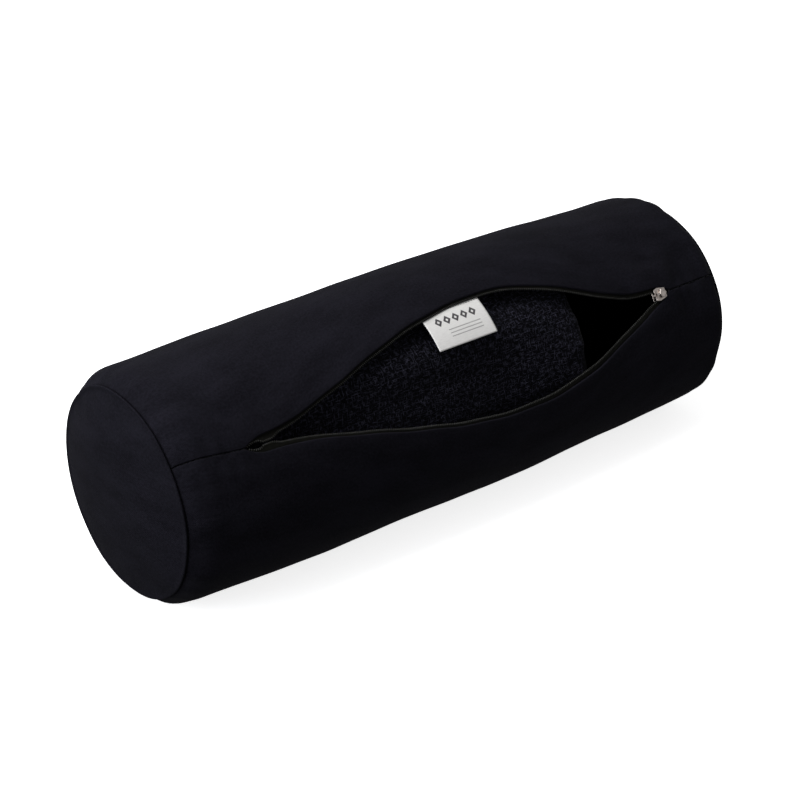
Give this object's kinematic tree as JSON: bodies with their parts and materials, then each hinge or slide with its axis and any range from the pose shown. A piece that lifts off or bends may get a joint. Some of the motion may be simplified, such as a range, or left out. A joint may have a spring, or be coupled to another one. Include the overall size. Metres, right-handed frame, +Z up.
{
  "type": "bolster pillow",
  "caption": "Round bolster pillow: a black zipped fabric cover, its long zip open, over a shorter loose filled insert.",
  "frame": {"origin": "on the floor under the middle of the roll, at the bottom centre of its box", "axes": "+X along the roll towards the zip slider at rest, -Y the side that the zip faces, +Z up"},
  "size_m": [0.426, 0.146, 0.143],
  "materials": {
    "cover_cloth": "matte, smooth, tightly woven near-black cotton",
    "thread": "black sewing thread",
    "zip_tape": "black woven zip tape",
    "zip_coil": "black nylon coil, slightly shiny",
    "label_cloth": null,
    "slider_metal": "gunmetal plating with bright worn edges",
    "spring_steel": "bright spring steel",
    "insert_cloth": "coarse dark navy-black casing with pale flecks",
    "filling_fibre": "off-white polyester fibre"
  },
  "bodies": {
    "cover": {"cover_tube": "cover_cloth", "cover_end_left": "cover_cloth", "cover_end_right": "cover_cloth", "cover_end_seam_left": "thread", "cover_end_seam_right": "thread", "closing_seam_left": "thread", "closing_seam_right": "thread", "zip_bar_tack_left": "thread", "zip_bar_tack_right": "thread", "zip_tape_upper": "zip_tape", "zip_tape_lower": "zip_tape", "zip_coil_upper": "zip_coil", "zip_coil_lower": "zip_coil", "zip_stitching_upper": "thread", "zip_stitching_lower": "thread", "label": "label_cloth", "label_stitching": "thread"},
    "slider": {"slider_body": "slider_metal", "slider_cap": "slider_metal", "slider_lock_spring": "spring_steel"},
    "pull": {"slider_pull": "slider_metal"},
    "insert": {"insert_tube": "insert_cloth", "insert_end_left": "insert_cloth", "insert_end_right": "insert_cloth", "insert_end_seam_left": "thread", "insert_end_seam_right": "thread", "insert_long_seam": "thread", "insert_filling": "filling_fibre"}
  },
  "joints": [
    {"name": "zip_slide", "type": "slide", "parent": "cover", "child": "slider", "axis": [-1, 0, 0], "range_m": [0, 0.3], "deforming": ["zip_tape_upper", "zip_tape_lower", "zip_coil_upper", "zip_coil_lower"]},
    {"name": "pull_hinge", "type": "hinge", "parent": "slider", "child": "pull", "pos_m": [0.14636, -0.06004, 0.10899], "axis": [0, 0.5446, 0.8387], "range_deg": [0, 140]},
    {"name": "insert_slide", "type": "slide", "parent": "cover", "child": "insert", "axis": [1, 0, 0], "range_m": [0, 0.1]}
  ]
}
